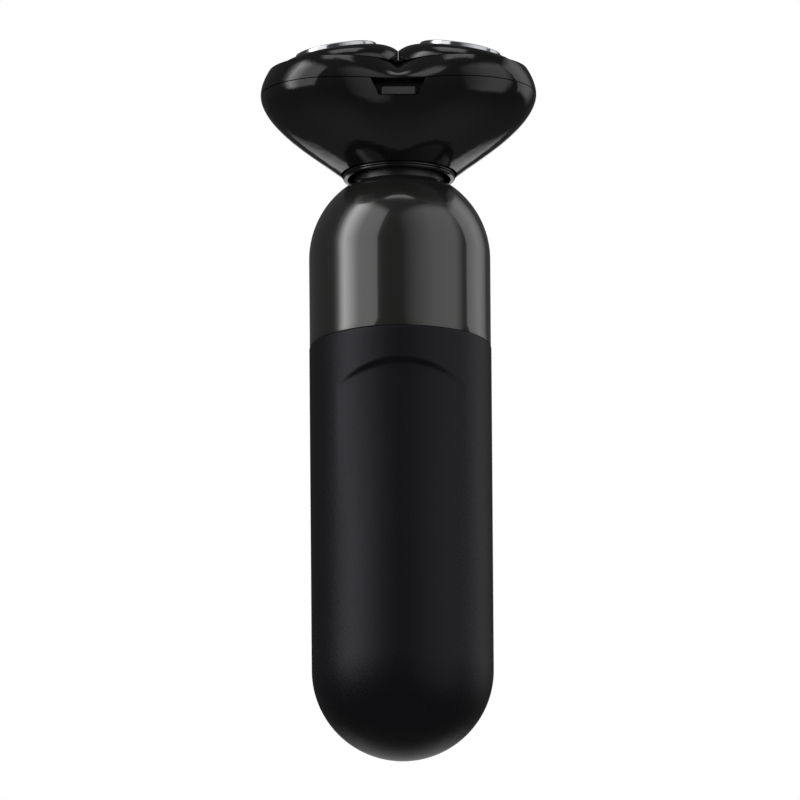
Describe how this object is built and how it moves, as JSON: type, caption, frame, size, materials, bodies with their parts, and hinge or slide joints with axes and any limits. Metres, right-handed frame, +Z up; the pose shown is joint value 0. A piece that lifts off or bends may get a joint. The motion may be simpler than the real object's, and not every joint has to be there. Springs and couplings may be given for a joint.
{
  "type": "electric shaver",
  "caption": "Rotary electric shaver: soft-touch capsule grip, glossy dark upper shell, narrow neck and a wide black floating head with tilted chrome cutters under a hinged cover.",
  "frame": {"origin": "the lowest point of the round end of the handle, on the handle's axis", "axes": "+Z up along the handle's axis towards the head, -Y the side with the finger rest and the release tab, +Y the side with the power button, charging port and head hinge, +X to the right seen from -Y"},
  "size_m": [0.0588, 0.0574, 0.1558],
  "materials": {
    "black_plastic": "satin",
    "blade_steel": "satin",
    "board_green": "satin",
    "bronze": "satin",
    "cell_wrap": "satin",
    "chassis_plastic": "matte",
    "copper": "satin",
    "cutter_chrome": "gloss",
    "gear_plastic": "satin",
    "gloss_black": "gloss",
    "gloss_dark": "gloss",
    "grip_rubber": "matte",
    "light_guide": "satin",
    "magnet_grey": "matte",
    "seal_rubber": "matte",
    "steel": "satin",
    "wire_red": "satin"
  },
  "bodies": {
    "handle": {"grip_sleeve": "grip_rubber", "upper_shell": "gloss_dark", "case_seal": "seal_rubber", "chassis_front": "chassis_plastic", "chassis_rear": "chassis_plastic", "chassis_screws": "steel", "battery_cell": "cell_wrap", "battery_tabs": "steel", "circuit_board": "board_green", "board_chips": "black_plastic", "tact_switch": "steel", "usb_port": "steel", "port_seal": "seal_rubber", "light_ring": "light_guide", "motor_can": "steel", "motor_magnets": "magnet_grey", "motor_end_cap": "chassis_plastic", "motor_bushings": "bronze", "motor_leads": "wire_red", "motor_plate": "steel", "motor_screws": "steel", "neck_stem": "black_plastic", "neck_nut": "black_plastic", "shaft_seal": "seal_rubber"},
    "button": {"power_button": "black_plastic", "switch_plunger": "black_plastic"},
    "rotor": {"motor_shaft": "steel", "motor_armature": "magnet_grey", "motor_windings": "copper", "drive_coupler": "chassis_plastic"},
    "gimbal": {"gimbal_ring": "steel", "gimbal_pins": "steel"},
    "head_base": {"neck_collar": "gloss_black", "head_bowl": "gloss_black", "head_frame": "gear_plastic", "hinge_bracket": "gloss_black", "gear_plate": "gear_plastic", "gear_cover": "black_plastic", "plate_screws": "steel", "gear_spindles": "steel", "hinge_pin": "steel"},
    "sun_gear": {"centre_gear": "gear_plastic"},
    "catch": {"release_catch": "black_plastic"},
    "cover": {"head_cover": "gloss_black", "cover_lug": "gloss_black", "cutter_bezel": "gloss_black", "retainer_rings": "chassis_plastic", "cutter_springs": "steel"},
    "planet_1": {"drive_gear_1": "gear_plastic"},
    "cutter_1": {"foil_cup_1": "cutter_chrome"},
    "spinner_1": {"inner_cutter_1": "chassis_plastic", "cutter_blades_1": "blade_steel"},
    "planet_2": {"drive_gear_2": "gear_plastic"},
    "cutter_2": {"foil_cup_2": "cutter_chrome"},
    "spinner_2": {"inner_cutter_2": "chassis_plastic", "cutter_blades_2": "blade_steel"},
    "planet_3": {"drive_gear_3": "gear_plastic"},
    "cutter_3": {"foil_cup_3": "cutter_chrome"},
    "spinner_3": {"inner_cutter_3": "chassis_plastic", "cutter_blades_3": "blade_steel"}
  },
  "joints": [
    {"name": "button_press", "type": "slide", "parent": "handle", "child": "button", "axis": [0, -1, 0], "range_m": [0, 0.0005], "stiffness_N_per_m": 600},
    {"name": "motor_spin", "type": "hinge", "parent": "handle", "child": "rotor", "pos_m": [0, 0, 0.1], "axis": [0, 0, 1], "continuous": true},
    {"name": "head_pitch", "type": "hinge", "parent": "handle", "child": "gimbal", "pos_m": [0, 0, 0.13303], "axis": [1, 0, 0], "range_deg": [-5, 5], "stiffness_Nm_per_rad": 0.6},
    {"name": "head_roll", "type": "hinge", "parent": "gimbal", "child": "head_base", "pos_m": [0, 0, 0.13303], "axis": [0, 1, 0], "range_deg": [-5, 5], "stiffness_Nm_per_rad": 0.6},
    {"name": "centre_gear_spin", "type": "hinge", "parent": "head_base", "child": "sun_gear", "pos_m": [0, 0, 0.13303], "axis": [0, 0, 1], "continuous": true},
    {"name": "catch_press", "type": "slide", "parent": "head_base", "child": "catch", "axis": [0, 1, 0], "range_m": [0, 0.0007], "stiffness_N_per_m": 800},
    {"name": "cover_hinge", "type": "hinge", "parent": "head_base", "child": "cover", "pos_m": [0, 0.032, 0.14413], "axis": [-1, 0, 0], "range_deg": [0, 100]},
    {"name": "drive_gear_1_spin", "type": "hinge", "parent": "head_base", "child": "planet_1", "pos_m": [-0.01221, -0.00705, 0.13903], "axis": [0, 0, 1], "continuous": true},
    {"name": "cutter_1_float", "type": "slide", "parent": "cover", "child": "cutter_1", "axis": [-0.1504, -0.0868, 0.9848], "range_m": [-0.001, 0], "stiffness_N_per_m": 900, "deforming": ["cutter_springs"]},
    {"name": "cutter_1_spin", "type": "hinge", "parent": "cutter_1", "child": "spinner_1", "pos_m": [-0.01325, -0.00765, 0.15433], "axis": [-0.1504, -0.0868, 0.9848], "continuous": true},
    {"name": "drive_gear_2_spin", "type": "hinge", "parent": "head_base", "child": "planet_2", "pos_m": [0.01221, -0.00705, 0.13903], "axis": [0, 0, 1], "continuous": true},
    {"name": "cutter_2_float", "type": "slide", "parent": "cover", "child": "cutter_2", "axis": [0.1504, -0.0868, 0.9848], "range_m": [-0.001, 0], "stiffness_N_per_m": 900},
    {"name": "cutter_2_spin", "type": "hinge", "parent": "cutter_2", "child": "spinner_2", "pos_m": [0.01325, -0.00765, 0.15433], "axis": [0.1504, -0.0868, 0.9848], "continuous": true},
    {"name": "drive_gear_3_spin", "type": "hinge", "parent": "head_base", "child": "planet_3", "pos_m": [0, 0.0141, 0.13903], "axis": [0, 0, 1], "continuous": true},
    {"name": "cutter_3_float", "type": "slide", "parent": "cover", "child": "cutter_3", "axis": [0, 0.1736, 0.9848], "range_m": [-0.001, 0], "stiffness_N_per_m": 900},
    {"name": "cutter_3_spin", "type": "hinge", "parent": "cutter_3", "child": "spinner_3", "pos_m": [0, 0.0153, 0.15433], "axis": [0, 0.1736, 0.9848], "continuous": true}
  ],
  "couplings": [
    {"joint": "centre_gear_spin", "follows": "motor_spin", "ratio": 1},
    {"joint": "drive_gear_1_spin", "follows": "motor_spin", "ratio": -0.56667},
    {"joint": "cutter_1_spin", "follows": "motor_spin", "ratio": -0.56667},
    {"joint": "drive_gear_2_spin", "follows": "motor_spin", "ratio": -0.56667},
    {"joint": "cutter_2_spin", "follows": "motor_spin", "ratio": -0.56667},
    {"joint": "drive_gear_3_spin", "follows": "motor_spin", "ratio": -0.56667},
    {"joint": "cutter_3_spin", "follows": "motor_spin", "ratio": -0.56667}
  ]
}
